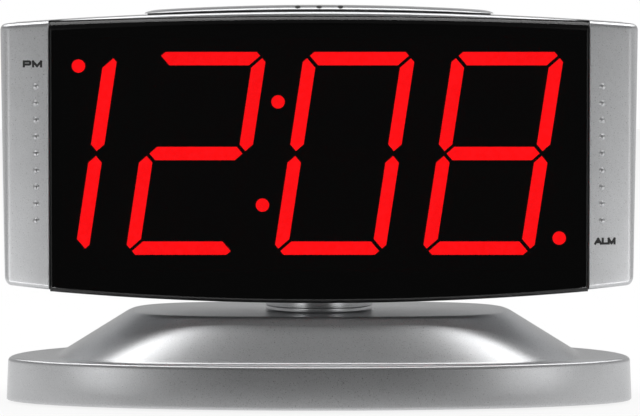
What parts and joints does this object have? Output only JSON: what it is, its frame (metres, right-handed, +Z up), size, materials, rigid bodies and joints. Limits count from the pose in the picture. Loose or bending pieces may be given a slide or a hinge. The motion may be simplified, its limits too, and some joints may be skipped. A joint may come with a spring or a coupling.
{
  "type": "digital alarm clock",
  "caption": "Bedside LED alarm clock: slanted red digits behind a bowed smoked window in a silver case with a long snooze bar, turning on a domed pedestal base.",
  "frame": {"origin": "on the table, at the middle of the base's outline and under the swivel axis", "axes": "+Z up, -Y out of the display towards the viewer, +X to the viewer's right"},
  "size_m": [0.1408, 0.0654, 0.0884],
  "materials": {
    "silver_paint": "fine metallic satin paint",
    "smoked_window": "polished dark smoked acrylic",
    "lit_red": "lit diffuser",
    "unlit_red": "dark diffuser",
    "black_plastic": "fine texture",
    "grey_plastic": "fine texture",
    "white_nylon": "smooth",
    "rubber": "matt",
    "steel": "zinc plated",
    "board_green": "solder mask",
    "core_iron": "stacked sheets",
    "coil_tape": "insulating tape",
    "contact_brass": "plated",
    "capacitor_blue": "sleeve"
  },
  "bodies": {
    "base": {"base_shell": "silver_paint", "base_plate": "grey_plastic", "rubber_feet": "rubber", "base_screws": "steel", "swivel_washer": "white_nylon"},
    "head": {"swivel_neck": "silver_paint", "neck_screws": "steel", "retainer_disc": "grey_plastic", "retainer_screw": "steel", "front_case": "silver_paint", "rear_cover": "silver_paint", "rear_screws": "steel", "window": "smoked_window", "display_block": "black_plastic", "lit_segments": "lit_red", "unlit_segments": "unlit_red", "lit_dots": "lit_red", "main_board": "board_green", "clock_chip": "black_plastic", "capacitors": "capacitor_blue", "snooze_switch": "black_plastic", "board_header": "black_plastic", "transformer_core": "core_iron", "transformer_coil": "coil_tape", "control_board": "board_green", "control_screws": "steel", "set_switches": "black_plastic", "slide_switches": "steel", "sounder": "black_plastic", "coin_cell": "steel", "cell_contacts": "contact_brass", "cord_bush": "black_plastic"},
    "snooze": {"snooze_bar": "silver_paint", "snooze_stem": "white_nylon"},
    "time_key": {"time_button": "black_plastic"},
    "alarm_key": {"alarm_button": "black_plastic"},
    "hour_key": {"hour_button": "black_plastic"},
    "minute_key": {"minute_button": "black_plastic"},
    "alarm_knob": {"alarm_slider": "black_plastic"},
    "dimmer_knob": {"dimmer_slider": "black_plastic"},
    "door": {"battery_door": "silver_paint"}
  },
  "joints": [
    {"name": "head_swivel", "type": "hinge", "parent": "base", "child": "head", "pos_m": [0, 0, 0.02105], "axis": [0, 0, 1], "range_deg": [-90, 90]},
    {"name": "snooze_press", "type": "slide", "parent": "head", "child": "snooze", "axis": [0, 0, -1], "range_m": [0, 0.001], "stiffness_N_per_m": 1500},
    {"name": "time_press", "type": "slide", "parent": "head", "child": "time_key", "axis": [0, -1, 0], "range_m": [0, 0.001], "stiffness_N_per_m": 1500},
    {"name": "alarm_press", "type": "slide", "parent": "head", "child": "alarm_key", "axis": [0, -1, 0], "range_m": [0, 0.001], "stiffness_N_per_m": 1500},
    {"name": "hour_press", "type": "slide", "parent": "head", "child": "hour_key", "axis": [0, -1, 0], "range_m": [0, 0.001], "stiffness_N_per_m": 1500},
    {"name": "minute_press", "type": "slide", "parent": "head", "child": "minute_key", "axis": [0, -1, 0], "range_m": [0, 0.001], "stiffness_N_per_m": 1500},
    {"name": "alarm_slide", "type": "slide", "parent": "head", "child": "alarm_knob", "axis": [1, 0, 0], "range_m": [0, 0.003]},
    {"name": "dimmer_slide", "type": "slide", "parent": "head", "child": "dimmer_knob", "axis": [1, 0, 0], "range_m": [0, 0.003]},
    {"name": "door_pull", "type": "slide", "parent": "head", "child": "door", "axis": [0, 1, 0], "range_m": [0, 0.012]}
  ]
}
